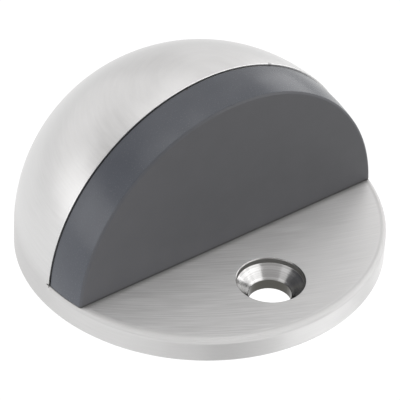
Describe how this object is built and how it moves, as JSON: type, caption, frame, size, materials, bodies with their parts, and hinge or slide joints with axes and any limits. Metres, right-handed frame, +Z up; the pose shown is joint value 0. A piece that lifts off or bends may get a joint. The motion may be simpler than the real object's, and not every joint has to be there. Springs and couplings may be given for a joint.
{
  "type": "floor door stop",
  "caption": "Half-dome floor door stop: round-footed satin metal casting with a countersunk fixing hole in its front shelf and a grey rubber bumper across the dome's cut face.",
  "frame": {"origin": "centre of the round foot's underside, on the floor", "axes": "+Z up, along the screw hole; the bumper's striking face looks along -Y, towards the door, and the dome stands on the +Y side"},
  "size_m": [0.045, 0.045, 0.025],
  "materials": {
    "satin_steel": "satin brushed",
    "grey_rubber": "smooth moulded, matt"
  },
  "bodies": {
    "root": {"body_casting": "satin_steel", "rubber_bumper": "grey_rubber"}
  },
  "joints": []
}
